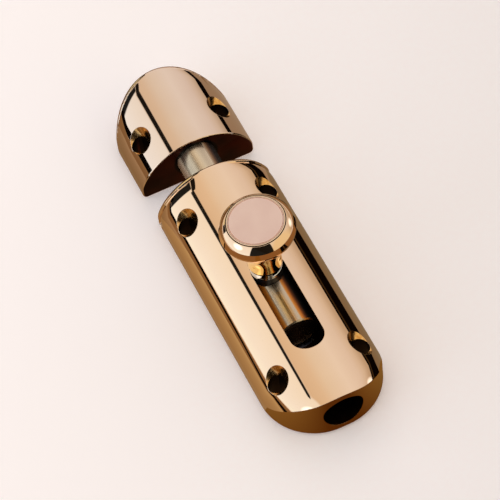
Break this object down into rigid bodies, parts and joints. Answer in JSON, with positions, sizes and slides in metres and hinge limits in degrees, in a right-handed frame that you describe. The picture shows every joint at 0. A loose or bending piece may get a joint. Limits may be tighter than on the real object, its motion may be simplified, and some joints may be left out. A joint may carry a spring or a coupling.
{
  "type": "sliding door bolt",
  "caption": "Small surface-mounted sliding door bolt: an arched casing, a round bolt thrown by a turned knob through a slot, and a matching keeper.",
  "frame": {"origin": "on the mounting face, in the middle of the overall length and width, with casing and keeper at their fitted distance", "axes": "+X from the keeper towards the casing's far end, along the bolt; +Z away from the door; +Y across"},
  "size_m": [0.1, 0.028, 0.0323],
  "materials": {
    "polished_rose_gold": "mirror polished, rose-gold coated",
    "satin_rose_gold": "fine satin, rose-gold coated",
    "satin_steel": "satin, drawn lengthwise",
    "plated_steel": "bright zinc plated",
    "dark_steel": "black oxide",
    "spring_steel": "rolled",
    "black_nylon": "moulded"
  },
  "bodies": {
    "base": {"casing": "polished_rose_gold", "keeper": "polished_rose_gold", "spring_cover": "satin_steel", "cover_screws": "plated_steel", "friction_spring": "spring_steel"},
    "bolt": {"bolt_rod": "satin_steel", "slot_bush": "black_nylon", "plain_washer": "plated_steel", "lock_washer": "plated_steel", "knob": "polished_rose_gold", "knob_cap": "satin_rose_gold", "knob_screw": "dark_steel"}
  },
  "joints": [
    {"name": "bolt_throw", "type": "slide", "parent": "base", "child": "bolt", "axis": [1, 0, 0], "range_m": [0, 0.0195]}
  ]
}
